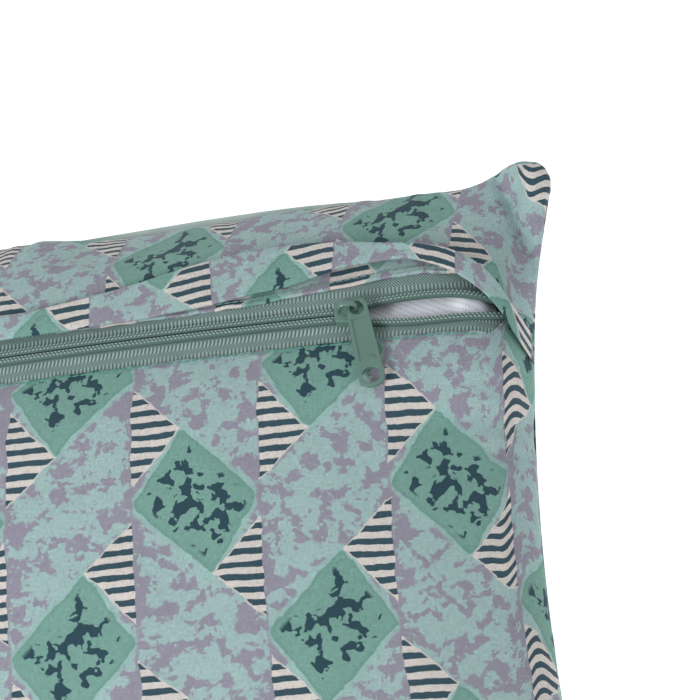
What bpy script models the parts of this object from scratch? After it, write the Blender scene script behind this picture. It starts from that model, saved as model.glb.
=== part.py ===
"""Camp pillow: a printed zip-off cover with a flap over the zip, round a separate stuffed inner cushion.

Frame: +Z up, X along the long side, the zip parallel to X near the +Y edge. The pillow lies on its
plain face, and the origin is on the ground under the middle of the cover.
"""
import math
from collections import namedtuple

import bmesh
import bpy
from mathutils import Matrix, Vector

# Cover: half sizes of the stuffed cover between its seams
HALF_LENGTH = 0.2315        # middle of a short side
HALF_WIDTH = 0.1620         # middle of a long side
CORNER_REACH = 0.0145       # how much further out the corners stand along X than the drawn-in short sides
CORNER_DRAW = 0.0060        # how much further in they stand along Y than the full long sides
REACH_POWER = 2.0
DRAW_POWER = 6.0
TOP_LOFT = 0.0540           # seam plane to the crown
UNDER_LOFT = 0.0520         # seam plane to the lowest point, if nothing pressed it flat
SEAM_HEIGHT = 0.0440        # seam plane above the ground that flattens the underside
CLOTH = 0.0008              # cover cloth with its seam turnings
GAP = 0.0003                # between pieces that touch

# Crown: how the height falls off towards the seams
LONG_FALL = 0.45            # share of the height lost along the length as a gentle arch
LONG_SHOULDER = 12.0        # power of the rounded shoulder at the short sides
SHOULDER_SOFTNESS = 0.6
WIDE_SHOULDER = 3.0
WIDE_SOFTNESS = 0.7

# Zip: an arc over the crown, tilted with the cloth beside it
ZIP_Y = 0.0940
ZIP_TOP = 0.0450            # height of the middle of the zip over the seam plane
ZIP_RADIUS = 1.3000         # of the arc that the chain follows
ZIP_TILT = math.radians(12.0)
ARC_SHARE = 0.8620          # beyond this share of its half length the ends dive into the side seams
SEAM_SHARE = 0.9700         # from here the cloth beside the zip turns down to the side seam itself
ZIP_WINDOW = 0.0115         # half of the gap between the cloth edges
TAPE_HALF = 0.0160
TAPE = 0.0007
TAPE_ROOM = 0.0005          # under the cloth edges
TAPE_EDGE = 0.0014          # chain centre to the tape's inner edge
COIL_INNER = 0.0002
COIL_OUTER = 0.0032
COIL_RISE = 0.0012          # top of the coil over the cloth's outer face
BLEND_START = 0.0190        # the cloth follows the zip this far to each side, then eases away
BLEND_WIDTH = 0.0320
MOUTH = 0.0027              # half of the open mouth beside the slider
MOUTH_LEAD = 0.0010         # the chain starts to part this far behind the slider's middle
MOUTH_END = 0.2305
ZIP_HALF = 0.2292           # half of the zip, up to the turnings of the side seams
ZIP_SLOPE_STEP = 0.0005     # half the stretch over which its slope is measured
BEND_ROOM = 0.0014          # extra room off the cloth where the zip dives into the side seams

# Slider and puller
SLIDER_X = 0.1730
SLIDER_HALF = 0.0055
NOSE_HALF = 0.0044          # half width at the closed end
MOUTH_HALF = 0.0062         # half width at the open end
PLATE = 0.0011
POST_HALF = 0.0008
FLANGE = 0.0010
RUN_CLEARANCE = 0.0003
BAIL_RADIUS = 0.0008
BAIL_REAR = -0.0040
BAIL_FRONT = 0.0030
BAIL_INSIDE = 0.0034        # headroom under the bail
PULLER_LENGTH = 0.0395
PULLER_NECK = 0.0040        # half width at the top eye
PULLER_TIP = 0.0048         # half width at the bottom
PULLER_THICK = 0.0016
PULLER_EYE_HALF = 0.0026
PULLER_EYE_LENGTH = 0.0046
PULLER_HOLE = 0.0035
PULLER_YAW = math.radians(9.0)
PULLER_DROOP = math.radians(3.0)

# Zip flap: a double band sewn in above the zip, folded back, its ends caught over the zip ends
FLAP_WIDTH = 0.0190
FLAP_THICK = 0.0014
FLAP_TURN_X = 0.1800        # where the band starts to come down over the zip
FLAP_END_X = 0.2310
FLAP_END_DROP = 0.0260
FLAP_NARROW = 0.0065        # width lost where the band twists
FLAP_END_NARROW = 0.0055
FLAP_LIFT = 0.0017          # over the coil

# Inner cushion
LINER = 0.0006
LINER_INSET = 0.0110        # the inner cushion is this much smaller than the cover all round
LINER_TOP_DROP = 0.0052     # leaves room for the slider above it
LINER_ROUNDING = 0.17       # share by which its corners are cut back
SEAM_TURNING = 0.0062
TURNING_ROOM = 0.0009       # between the cloth and its turnings
LINER_SEAM = 0.0016
SEAM_ROUNDING = 6.5         # power of the rounded corners that the turnings follow
THREAD = 0.0005

ZIP_SIDE_STEPS = 36         # along the panels that the zip joins
LENGTH_STEPS = 24
WIDE_STEPS = 12
ZIP_STEPS = 52


def clear_scene():
    for item in list(bpy.data.objects):
        bpy.data.objects.remove(item)


def finish_material(name, colour, roughness, metallic=0.0):
    made = bpy.data.materials.new(name)
    made.use_nodes = True
    shader = made.node_tree.nodes["Principled BSDF"]
    shader.inputs["Base Color"].default_value = (*colour, 1.0)
    shader.inputs["Roughness"].default_value = roughness
    shader.inputs["Metallic"].default_value = metallic
    return made


def new_object(name, points, faces, material, smooth=True):
    mesh = bpy.data.meshes.new(name)
    mesh.from_pydata([tuple(point) for point in points], [], faces)
    sheet = bmesh.new()
    sheet.from_mesh(mesh)
    bmesh.ops.recalc_face_normals(sheet, faces=sheet.faces[:])
    if sheet.calc_volume(signed=True) < 0.0:
        bmesh.ops.reverse_faces(sheet, faces=sheet.faces[:])
    sheet.to_mesh(mesh)
    sheet.free()
    if smooth:
        mesh.shade_smooth()
        mesh.set_sharp_from_angle(angle=math.radians(40.0))
    made = bpy.data.objects.new(name, mesh)
    made.data.materials.append(material)
    bpy.context.scene.collection.objects.link(made)
    return made


def ease(value):
    value = min(1.0, max(0.0, value))
    return value * value * (3.0 - 2.0 * value)


# ---------------------------------------------------------------- the stuffed form

def crown(s, t):
    """Share of the full loft at s along the length and t across, both -1 to 1."""
    along = (1.0 - LONG_FALL * s * s) * max(0.0, 1.0 - abs(s) ** LONG_SHOULDER) ** SHOULDER_SOFTNESS
    across = max(0.0, 1.0 - abs(t) ** WIDE_SHOULDER) ** WIDE_SOFTNESS
    return along * across


Layer = namedtuple("Layer", "inset drop rounding")      # a skin inside the cover's outer face
OUTSIDE = Layer(0.0, 0.0, 0.0)


def reach(s, t, layer):
    """Half sizes of the form level with s and t."""
    along = HALF_LENGTH - layer.inset + CORNER_REACH * abs(t) ** REACH_POWER
    across = HALF_WIDTH - layer.inset - CORNER_DRAW * abs(s) ** DRAW_POWER
    return along * (1.0 - layer.rounding * t ** 6), across * (1.0 - layer.rounding * s ** 6)


def plan(s, t, layer):
    along, across = reach(s, t, layer)
    return s * along, t * across


def share(x, y, layer):
    """The s and t of a plan position."""
    s = t = 0.0
    for _ in range(14):
        along, across = reach(s, t, layer)
        s = min(1.0, max(-1.0, x / along))
        t = min(1.0, max(-1.0, y / across))
    return s, t


def arc_height(x):
    return ZIP_TOP - ZIP_RADIUS + math.sqrt(ZIP_RADIUS ** 2 - x * x)


def zip_share(x, inset=0.0):
    """Share of the way along the zip's line, 1 at the side seam."""
    t = ZIP_Y / (HALF_WIDTH - CORNER_DRAW)
    return x / (HALF_LENGTH - inset + CORNER_REACH * t ** REACH_POWER)


def zip_end_fade(part):
    """1 along the arc, falling to 0 where the zip ends in the side seam."""
    beyond = min(1.0, max(0.0, (abs(part) - ARC_SHARE) / (1.0 - ARC_SHARE)))
    return (1.0 - beyond ** 2.5) ** SHOULDER_SOFTNESS


def upper_height(x, y, layer, s, t):
    """Height over the seam plane of the top, with the cloth beside the zip following its arc."""
    natural = (TOP_LOFT - layer.drop) * crown(s, t)
    away = abs(y - ZIP_Y)
    near = 1.0 - ease((away - BLEND_START) / BLEND_WIDTH)
    if near <= 0.0:
        return natural
    at_seam = ease((abs(s) - SEAM_SHARE) / (1.0 - SEAM_SHARE))
    part = abs(zip_share(x, layer.inset)) * (1.0 - at_seam) + abs(s) * at_seam
    strip = (arc_height(x) - (y - ZIP_Y) * math.tan(ZIP_TILT) - layer.drop) * zip_end_fade(part)
    return natural * (1.0 - near) + strip * near


def top_point(s, t, layer):
    x, y = plan(s, t, layer)
    return Vector((x, y, SEAM_HEIGHT + max(GAP / 2, upper_height(x, y, layer, s, t))))


def under_point(s, t, layer):
    x, y = plan(s, t, layer)
    depth = min((UNDER_LOFT - layer.drop) * crown(s, t), SEAM_HEIGHT - layer.drop)
    return Vector((x, y, SEAM_HEIGHT - max(GAP / 2, depth)))


def inside(layer, distance):
    return Layer(layer.inset + distance, layer.drop + distance, layer.rounding)


def spaced(count, power=1.6):
    """Steps from -1 to 1 that crowd towards the ends, where the form turns down."""
    values = []
    for step in range(count + 1):
        even = 2.0 * step / count - 1.0
        values.append(math.copysign(1.0 - (1.0 - abs(even)) ** power, even))
    return values


def closed_grid(name, outer, inner, material):
    """A closed shell between two point grids of the same size."""
    rows = len(outer)
    columns = len(outer[0])
    points = [point for row in outer for point in row] + [point for row in inner for point in row]
    shift = rows * columns

    def at(row, column, side):
        return side * shift + row * columns + column

    faces = []
    for row in range(rows - 1):
        for column in range(columns - 1):
            for side in (0, 1):
                faces.append((at(row, column, side), at(row, column + 1, side),
                              at(row + 1, column + 1, side), at(row + 1, column, side)))
    rim = [(row, 0) for row in range(rows)] + [(rows - 1, column) for column in range(1, columns)]
    rim += [(row, columns - 1) for row in range(rows - 2, -1, -1)]
    rim += [(0, column) for column in range(columns - 2, 0, -1)]
    for place, (row, column) in enumerate(rim):
        next_row, next_column = rim[(place + 1) % len(rim)]
        faces.append((at(row, column, 0), at(next_row, next_column, 0),
                      at(next_row, next_column, 1), at(row, column, 1)))
    return new_object(name, points, faces, material)


def panel(name, point_at, t_from, t_to, layer, thick, counts, material):
    """A cloth shell over the whole length, between two lines across."""
    outer, inner = [], []
    for s in spaced(counts[0], 1.9):
        low, high = t_from(s), t_to(s)
        marks = spaced(counts[1], 1.3)
        across = [low + (high - low) * (mark + 1.0) / 2.0 for mark in marks]
        outer.append([point_at(s, t, layer) for t in across])
        inner.append([point_at(s, t, inside(layer, thick)) for t in across])
    return closed_grid(name, outer, inner, material)


def cloth_edge(offset):
    """The t of the line at a plan distance from the zip, for each s."""
    def line(s):
        return (ZIP_Y + offset) / reach(s, 0.0, OUTSIDE)[1]
    return line


def build_cover(print_cloth, plain_cloth):
    def whole_low(_):
        return -1.0

    def whole_high(_):
        return 1.0

    panel("front_panel", under_point, whole_low, whole_high, OUTSIDE, CLOTH,
          (LENGTH_STEPS, WIDE_STEPS), plain_cloth)
    panel("back_panel_lower", top_point, whole_low, cloth_edge(-ZIP_WINDOW), OUTSIDE, CLOTH,
          (ZIP_SIDE_STEPS, WIDE_STEPS), print_cloth)
    panel("back_panel_upper", top_point, cloth_edge(ZIP_WINDOW), whole_high, OUTSIDE, CLOTH,
          (ZIP_SIDE_STEPS, WIDE_STEPS // 2), print_cloth)


def ring_path(count, power):
    """s and t round a rounded square just inside the seams."""
    path = []
    for step in range(count):
        angle = 2.0 * math.pi * step / count
        c, s = math.cos(angle), math.sin(angle)
        path.append((math.copysign(abs(c) ** (2.0 / power), c), math.copysign(abs(s) ** (2.0 / power), s)))
    return path


def square_path(count):
    """s and t round the edge of the form, count steps to a side."""
    steps = [2.0 * step / count - 1.0 for step in range(count)]
    path = [(mark, -1.0) for mark in steps] + [(1.0, mark) for mark in steps]
    return path + [(-mark, 1.0) for mark in steps] + [(-1.0, -mark) for mark in steps]


def flat_ring(name, path, inset_out, inset_in, rounding, half_height, material):
    """A flat ribbon that runs all round inside the seam plane."""
    corners = ((inset_out, 1.0), (inset_in, 1.0), (inset_in, -1.0), (inset_out, -1.0))
    points = []
    for s, t in path:
        for inset, side in corners:
            x, y = plan(s, t, Layer(inset, 0.0, rounding))
            points.append((x, y, SEAM_HEIGHT + side * half_height))
    count = len(path)
    faces = []
    for step in range(count):
        for corner in range(4):
            here, there = 4 * step, 4 * ((step + 1) % count)
            faces.append((here + corner, there + corner, there + (corner + 1) % 4, here + (corner + 1) % 4))
    return new_object(name, points, faces, material, smooth=False)


def build_seams(thread, liner_cloth):
    start = CLOTH + TURNING_ROOM
    flat_ring("cover_seam_turning", ring_path(88, SEAM_ROUNDING), start, start + SEAM_TURNING, 0.0,
              CLOTH / 2, thread)
    edge = LINER_INSET - 2.0 * GAP
    square = square_path(22)
    flat_ring("liner_edge_seam", square, edge - LINER_SEAM, edge, LINER_ROUNDING, LINER / 2, liner_cloth)


# ---------------------------------------------------------------- the zip

def fade_at(x):
    return zip_end_fade(zip_share(x))


def zip_point(x):
    return Vector((x, ZIP_Y, SEAM_HEIGHT + arc_height(x) * fade_at(x)))


def zip_frame(x):
    """Point on the cloth's outer face at the zip, with the directions along, across and up."""
    lean = math.atan(math.tan(ZIP_TILT) * fade_at(x))
    across = Vector((0.0, math.cos(lean), -math.sin(lean)))
    along = (zip_point(x + ZIP_SLOPE_STEP) - zip_point(x - ZIP_SLOPE_STEP)).normalized()
    return zip_point(x), along, across, along.cross(across).normalized()


def mouth_half(x):
    """How far each half of the chain has moved away from the chain's centre."""
    start = SLIDER_X - MOUTH_LEAD
    if x <= start or x >= MOUTH_END:
        return 0.0
    return MOUTH * math.sin(math.pi * (x - start) / (MOUTH_END - start)) ** 0.6


def zip_stations():
    """Steps along the zip, closer together towards both ends."""
    return [ZIP_HALF * mark for mark in spaced(ZIP_STEPS, 1.7)]


def strip(name, side, inner_edge, outer_edge, low, high, bend_room, material):
    """A ribbon along the zip on one side of it: edges are functions of x, heights over the cloth.

    Where the ends bend sharply down it moves off the cloth by bend_room, up or down.
    """
    outer, inner = [], []
    for x in zip_stations():
        base, _, across, up = zip_frame(x)
        edges = (side * inner_edge(x), side * outer_edge(x))
        room = bend_room * (1.0 - fade_at(x))
        outer.append([base + across * edge + up * (high + room) for edge in edges])
        inner.append([base + across * edge + up * (low + room) for edge in edges])
    return closed_grid(name, outer, inner, material)


def build_zip(tape_cloth, coil_plastic, thread):
    tape_top = -(CLOTH + TAPE_ROOM)
    for word, side in (("lower", -1.0), ("upper", 1.0)):
        strip("zip_tape_" + word, side, lambda x: TAPE_EDGE + mouth_half(x), lambda x: TAPE_HALF,
              tape_top - TAPE, tape_top, -BEND_ROOM, tape_cloth)
        strip("zip_coil_" + word, side, lambda x: COIL_INNER + mouth_half(x),
              lambda x: COIL_OUTER + mouth_half(x), tape_top + GAP, COIL_RISE, -BEND_ROOM, coil_plastic)
        strip("topstitch_" + word, side, lambda x: ZIP_WINDOW + 0.0016, lambda x: ZIP_WINDOW + 0.0022,
              GAP, GAP + THREAD / 2, BEND_ROOM, thread)


def prism(name, outline, low, high, material):
    """An outline in the x-y plane raised from low to high, in the piece's own frame."""
    count = len(outline)
    points = [(x, y, low) for x, y in outline] + [(x, y, high) for x, y in outline]
    faces = [tuple(range(count - 1, -1, -1)), tuple(range(count, 2 * count))]
    for step in range(count):
        after = (step + 1) % count
        faces.append((step, after, count + after, count + step))
    return new_object(name, points, faces, material, smooth=False)


def tube(name, path, radius, material, sides=8):
    """A round bar along a path in the x-z plane."""
    points = []
    for step, (x, z) in enumerate(path):
        before, after = path[max(0, step - 1)], path[min(len(path) - 1, step + 1)]
        run = math.hypot(after[0] - before[0], after[1] - before[1])
        normal = (-(after[1] - before[1]) / run, (after[0] - before[0]) / run)
        for side in range(sides):
            angle = 2.0 * math.pi * side / sides
            out, over = radius * math.cos(angle), radius * math.sin(angle)
            points.append((x + normal[0] * out, over, z + normal[1] * out))
    faces = [tuple(range(sides)), tuple(range(len(points) - 1, len(points) - 1 - sides, -1))]
    for step in range(len(path) - 1):
        for side in range(sides):
            here, there = sides * step, sides * (step + 1)
            after = (side + 1) % sides
            faces.append((here + side, here + after, there + after, there + side))
    return new_object(name, points, faces, material)


def combine(target, pieces, operation):
    """Unite pieces with the target, or cut them out of it, and drop them."""
    for piece in pieces:
        change = target.modifiers.new(operation.lower(), "BOOLEAN")
        change.operation = operation
        change.object = piece
        with bpy.context.temp_override(object=target, active_object=target):
            bpy.ops.object.modifier_apply(modifier=change.name)
        bpy.data.objects.remove(piece)


def slider_outline(extra=0.0):
    """Plan of the slider: narrow at the closed end, flared over the post."""
    rear, front = -SLIDER_HALF, SLIDER_HALF
    half = [(rear, NOSE_HALF - 0.0014), (rear + 0.0012, NOSE_HALF), (-0.0010, NOSE_HALF + 0.0004),
            (0.0020, MOUTH_HALF), (front - 0.0012, MOUTH_HALF), (front, MOUTH_HALF - 0.0016)]
    upper = [(x, y + extra) for x, y in half]
    return [(x, -y) for x, y in upper] + upper[::-1]


def place_on_zip(piece, x):
    base, along, across, up = zip_frame(x)
    turn = Matrix((along, across, up)).transposed().to_4x4()
    piece.matrix_world = Matrix.Translation(base) @ turn


def build_slider(metal):
    coil_top = COIL_RISE + RUN_CLEARANCE
    tape_under = -(CLOTH + TAPE_ROOM + TAPE + RUN_CLEARANCE)
    body = prism("zip_slider", slider_outline(), coil_top, coil_top + PLATE, metal)
    under = prism("under_plate", slider_outline(), tape_under - PLATE, tape_under, metal)
    post_outline = [(0.0014, 0.0), (0.0024, -POST_HALF), (SLIDER_HALF - 0.0006, -POST_HALF),
                    (SLIDER_HALF - 0.0006, POST_HALF), (0.0024, POST_HALF)]
    post = prism("post", post_outline, tape_under - PLATE / 2, coil_top + PLATE / 2, metal)
    flanges = []
    flange_foot = -(CLOTH + TAPE_ROOM) + RUN_CLEARANCE
    outline = slider_outline()
    half_count = len(outline) // 2
    for side in (-1.0, 1.0):
        outer = [(x, side * abs(y)) for x, y in outline[1:half_count - 1]]
        inner = [(x, side * (abs(y) - FLANGE)) for x, y in outline[1:half_count - 1]]
        flanges.append(prism("flange", outer + inner[::-1], flange_foot, coil_top + PLATE / 2, metal))
    bail_low = coil_top + PLATE / 2
    bail_rise = PLATE / 2 + BAIL_INSIDE + BAIL_RADIUS
    middle = (BAIL_REAR + BAIL_FRONT) / 2
    half_span = (BAIL_FRONT - BAIL_REAR) / 2
    path = []
    for step in range(15):
        angle = math.pi * step / 14
        path.append((middle - half_span * math.copysign(abs(math.cos(angle)) ** 0.6, math.cos(angle)),
                     bail_low + bail_rise * math.sin(angle) ** 0.7))
    bail = tube("bail", path, BAIL_RADIUS, metal)
    combine(body, [under, post, *flanges, bail], "UNION")
    body.data.shade_smooth()
    body.data.set_sharp_from_angle(angle=math.radians(35.0))
    place_on_zip(body, SLIDER_X)
    return coil_top + PLATE


def arc_points(centre, radius, start, end, count):
    return [(centre[0] + radius * math.cos(math.radians(start + (end - start) * step / count)),
             centre[1] + radius * math.sin(math.radians(start + (end - start) * step / count)))
            for step in range(count + 1)]


def build_puller(metal, plate_top):
    """The pull tab: its eye goes round the front leg of the bail, on which it swings over the cloth."""
    eye_far = PULLER_EYE_LENGTH / 2
    wall = PULLER_NECK - PULLER_EYE_HALF
    top = eye_far + wall
    bottom = top - PULLER_LENGTH
    outline = arc_points((0.0, bottom + PULLER_TIP), PULLER_TIP, 180.0, 360.0, 12)
    outline += [(PULLER_TIP, bottom + 2.2 * PULLER_TIP), (PULLER_NECK, top - PULLER_NECK)]
    outline += arc_points((0.0, top - PULLER_NECK), PULLER_NECK, 15.0, 165.0, 8)
    outline += [(-PULLER_NECK, top - PULLER_NECK), (-PULLER_TIP, bottom + 2.2 * PULLER_TIP)]
    tab = prism("zip_puller", outline, -PULLER_THICK / 2, PULLER_THICK / 2, metal)
    eye = prism("eye", arc_points((0.0, eye_far - PULLER_EYE_HALF), PULLER_EYE_HALF, 0.0, 180.0, 8)
                + arc_points((0.0, PULLER_EYE_HALF - eye_far - 0.0012), PULLER_EYE_HALF, 180.0, 360.0, 8),
                -PULLER_THICK, PULLER_THICK, metal)
    hole = prism("hole", arc_points((0.0, bottom + PULLER_TIP + 0.0002), PULLER_HOLE, 0.0, 345.0, 23),
                 -PULLER_THICK, PULLER_THICK, metal)
    combine(tab, [eye, hole], "DIFFERENCE")
    base, along, across, up = zip_frame(SLIDER_X)
    pivot = base + along * BAIL_FRONT + up * (plate_top + RUN_CLEARANCE + PULLER_THICK / 2 + 0.0003)
    hinge = bpy.data.objects.new("puller_hinge", None)
    hinge.matrix_world = Matrix.Translation(pivot) @ Matrix((along, across, up)).transposed().to_4x4()
    bpy.context.scene.collection.objects.link(hinge)
    tab.data.transform(Matrix.Rotation(PULLER_YAW, 4, "Z"))
    tab.parent = hinge
    tab.rotation_euler = (PULLER_DROOP, 0.0, 0.0)
    bpy.context.view_layer.update()
    return pivot


# ---------------------------------------------------------------- flap

def flap_middle(x):
    past = min(1.0, max(0.0, (abs(x) - FLAP_TURN_X) / (FLAP_END_X - FLAP_TURN_X)))
    return ZIP_WINDOW + FLAP_WIDTH / 2 - FLAP_END_DROP * past ** 1.9


def flap_half(x):
    twist = ease((abs(x) - (FLAP_TURN_X - 0.03)) / 0.03)
    end = ease((abs(x) - (FLAP_END_X - 0.035)) / 0.035)
    return (FLAP_WIDTH - FLAP_NARROW * twist - FLAP_END_NARROW * end) / 2


def build_flap(print_cloth):
    over, under = [], []
    for mark in spaced(44, 1.8):
        x = FLAP_END_X * mark
        lift = CLOTH + FLAP_LIFT * ease((abs(x) - FLAP_TURN_X) / 0.02)
        row_over, row_under = [], []
        for part in (-1.0, -0.33, 0.33, 1.0):
            y = ZIP_Y + flap_middle(x) + part * flap_half(x)
            ground = SEAM_HEIGHT + upper_height(x, y, OUTSIDE, *share(x, y, OUTSIDE))
            row_under.append(Vector((x, y, ground + lift)))
            row_over.append(Vector((x, y, ground + lift + FLAP_THICK)))
        over.append(row_over)
        under.append(row_under)
    closed_grid("zip_flap", over, under, print_cloth)


# ---------------------------------------------------------------- inner cushion

def build_inner(liner_cloth, fibre):
    def low(_):
        return -1.0

    def high(_):
        return 1.0

    top = Layer(LINER_INSET, LINER_TOP_DROP, LINER_ROUNDING)
    under = Layer(LINER_INSET, CLOTH + GAP, LINER_ROUNDING)
    counts = (LENGTH_STEPS, WIDE_STEPS)
    panel("liner_top", top_point, low, high, top, LINER, counts, liner_cloth)
    panel("liner_under", under_point, low, high, under, LINER, counts, liner_cloth)
    fill_top, fill_under = inside(top, LINER + GAP), inside(under, LINER + GAP)
    over, below = [], []
    for s in spaced(LENGTH_STEPS, 1.9):
        over.append([top_point(s, t, fill_top) for t in spaced(WIDE_STEPS, 1.3)])
        below.append([under_point(s, t, fill_under) for t in spaced(WIDE_STEPS, 1.3)])
    closed_grid("fibre_fill", over, below, fibre)


def build():
    clear_scene()
    print_cloth = finish_material("printed_cloth", (0.42, 0.62, 0.60), 0.85)
    plain_cloth = finish_material("under_cloth", (0.42, 0.62, 0.60), 0.85)
    tape_cloth = finish_material("zip_tape", (0.25, 0.36, 0.32), 0.80)
    coil_plastic = finish_material("coil", (0.20, 0.30, 0.27), 0.45)
    thread = finish_material("thread", (0.10, 0.34, 0.34), 0.75)
    metal = finish_material("painted_metal", (0.16, 0.28, 0.22), 0.35, 0.4)
    liner_cloth = finish_material("liner", (0.70, 0.71, 0.76), 0.90)
    fibre = finish_material("fibre", (0.90, 0.90, 0.88), 0.95)
    build_cover(print_cloth, plain_cloth)
    build_seams(thread, liner_cloth)
    build_zip(tape_cloth, coil_plastic, thread)
    plate_top = build_slider(metal)
    build_puller(metal, plate_top)
    build_flap(print_cloth)
    build_inner(liner_cloth, fibre)


build()
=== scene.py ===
# %% [markdown]
# # Camp pillow
# A stuffed pillow in a printed cover, lying with its zip up. A real cover is cut flat, sewn into a case and
# filled, so its cloth bulges and puckers. Sculpting it by hand would lose the cloth's own lengths. Here
# every soft piece is a fine grid of points on one stuffed form: the grid remembers where each point was cut
# from, for the print, and a cloth simulation then settles it.

import math

import bpy
import numpy as np
from mathutils import Matrix, Vector


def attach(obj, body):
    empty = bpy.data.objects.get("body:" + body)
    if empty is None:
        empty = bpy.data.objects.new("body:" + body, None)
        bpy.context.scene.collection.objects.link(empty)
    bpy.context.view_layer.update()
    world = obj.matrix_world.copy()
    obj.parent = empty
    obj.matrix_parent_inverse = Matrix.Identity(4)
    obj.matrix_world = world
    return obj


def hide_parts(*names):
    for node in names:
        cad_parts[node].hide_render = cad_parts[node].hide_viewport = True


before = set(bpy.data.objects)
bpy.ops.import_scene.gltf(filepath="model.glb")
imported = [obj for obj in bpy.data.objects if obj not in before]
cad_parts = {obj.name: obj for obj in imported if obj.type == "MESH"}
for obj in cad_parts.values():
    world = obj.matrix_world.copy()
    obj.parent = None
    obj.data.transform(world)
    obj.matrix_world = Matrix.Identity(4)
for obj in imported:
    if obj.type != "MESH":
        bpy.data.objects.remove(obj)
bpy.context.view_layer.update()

# %% [markdown]
# ## Sizes
# Everything is in metres, with X along the zip, Y across it and Z up. The cover's half sizes, its lofts
# (how far it swells over and under its edge seam) and the zip's arc are those of the frame, so the cloth
# lands on it.

# %% Sizes
HALF_LENGTH, HALF_WIDTH = 0.2315, 0.1620
CORNER_REACH, CORNER_DRAW = 0.0145, 0.0060
TOP_LOFT, UNDER_LOFT, SEAM_HEIGHT = 0.0540, 0.0520, 0.0440
LONG_FALL, LONG_SHOULDER, SHOULDER_SOFTNESS = 0.45, 9.0, 0.6
WIDE_SHOULDER, WIDE_SOFTNESS = 3.0, 0.7
CLOTH = 0.0008
ZIP_Y, ZIP_TOP, ZIP_RADIUS = 0.0940, 0.0450, 1.3000
ZIP_LEAN = math.tan(math.radians(12.0))
ARC_SHARE, SEAM_SHARE = 0.8620, 0.9700
ZIP_WINDOW, ZIP_END = 0.0115, 0.2290
BLEND_START, BLEND_WIDTH = 0.0190, 0.0320
MOUTH, MOUTH_LEAD, MOUTH_END = 0.0042, 0.0010, 0.2305
SLIDER_X, RIB_PITCH = 0.1730, 0.00145
FLAP_TURN_X, FLAP_END_X = 0.1800, 0.2355
LINER_INSET, LINER_DROP, LINER_ROUNDING = 0.0060, 0.0052, 0.17
print("cover", round(2000 * HALF_LENGTH), "mm along,", round(2000 * HALF_WIDTH), "mm across at its middle")

# %% [markdown]
# ## The stuffed form
# A case with filling is highest in its middle and thins out to its seam. A crown does that: its height
# comes from two shares, s along and t across, each from -1 at one seam to 1 at the other. The zip is
# stiffer than the cloth, so near it the cloth follows the zip's own arc and then eases back to the crown.

# %% Shares along and across
FADE_POWER, DRAW_POWER, SHARE_ROUNDS = 2.5, 6, 14


def ease(value):
    value = np.clip(value, 0.0, 1.0)
    return value * value * (3.0 - 2.0 * value)


def crown(s, t):
    along = (1.0 - LONG_FALL * s * s) * np.maximum(0.0, 1.0 - np.abs(s) ** LONG_SHOULDER) ** SHOULDER_SOFTNESS
    return along * np.maximum(0.0, 1.0 - np.abs(t) ** WIDE_SHOULDER) ** WIDE_SOFTNESS


def reach(s, t, inset=0.0, rounding=0.0):
    along = HALF_LENGTH - inset + CORNER_REACH * t ** 2
    across = HALF_WIDTH - inset - CORNER_DRAW * s ** DRAW_POWER
    return along * (1.0 - rounding * t ** DRAW_POWER), across * (1.0 - rounding * s ** DRAW_POWER)


def share(x, y, inset=0.0, rounding=0.0):
    s, t = x * 0.0, y * 0.0
    for _ in range(SHARE_ROUNDS):
        along, across = reach(s, t, inset, rounding)
        s, t = np.clip(x / along, -1.0, 1.0), np.clip(y / across, -1.0, 1.0)
    return s, t


half = np.array([0.5])
print("half way along, the crown is", round(float(crown(half, half * 0.0)[0]), 3), "of its full height")


# %% The zip's arc
def arc_height(x):
    return ZIP_TOP - ZIP_RADIUS + np.sqrt(ZIP_RADIUS ** 2 - x * x)


def zip_share(x, inset=0.0):
    return np.abs(x) / (HALF_LENGTH - inset + CORNER_REACH * (ZIP_Y / (HALF_WIDTH - CORNER_DRAW)) ** 2)


def share_fade(part):
    beyond = np.clip((part - ARC_SHARE) / (1.0 - ARC_SHARE), 0.0, 1.0)
    return (1.0 - beyond ** FADE_POWER) ** SHOULDER_SOFTNESS


def end_fade(x):
    return share_fade(zip_share(x))


zip_fall = ZIP_TOP - float(arc_height(SLIDER_X))
print("the zip falls", round(zip_fall * 1000, 1), "mm from its middle to the slider")


# %% Points of the form
def top_height(x, y, s, t, inset=0.0, drop=0.0):
    natural = (TOP_LOFT - drop) * crown(s, t)
    near = 1.0 - ease((np.abs(y - ZIP_Y) - BLEND_START) / BLEND_WIDTH)
    at_seam = ease((np.abs(s) - SEAM_SHARE) / (1.0 - SEAM_SHARE))
    part = zip_share(x, inset) * (1.0 - at_seam) + np.abs(s) * at_seam
    strip = (arc_height(x) - (y - ZIP_Y) * ZIP_LEAN - drop) * share_fade(part)
    return natural * (1.0 - near) + strip * near


def top_point(s, t, inset=0.0, drop=0.0, rounding=0.0):
    along, across = reach(s, t, inset, rounding)
    x, y = s * along, t * across
    return np.stack([x, y, SEAM_HEIGHT + np.maximum(0.0, top_height(x, y, s, t, inset, drop))], axis=-1)


def under_point(s, t, inset=0.0, drop=0.0, rounding=0.0):
    along, across = reach(s, t, inset, rounding)
    depth = np.minimum((UNDER_LOFT - drop) * crown(s, t), SEAM_HEIGHT - drop)
    return np.stack([s * along, t * across, SEAM_HEIGHT - np.maximum(0.0, depth)], axis=-1)


def spaced(count, power=1.6):
    even = np.linspace(-1.0, 1.0, count + 1)
    return np.sign(even) * (1.0 - (1.0 - np.abs(even)) ** power)


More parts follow.
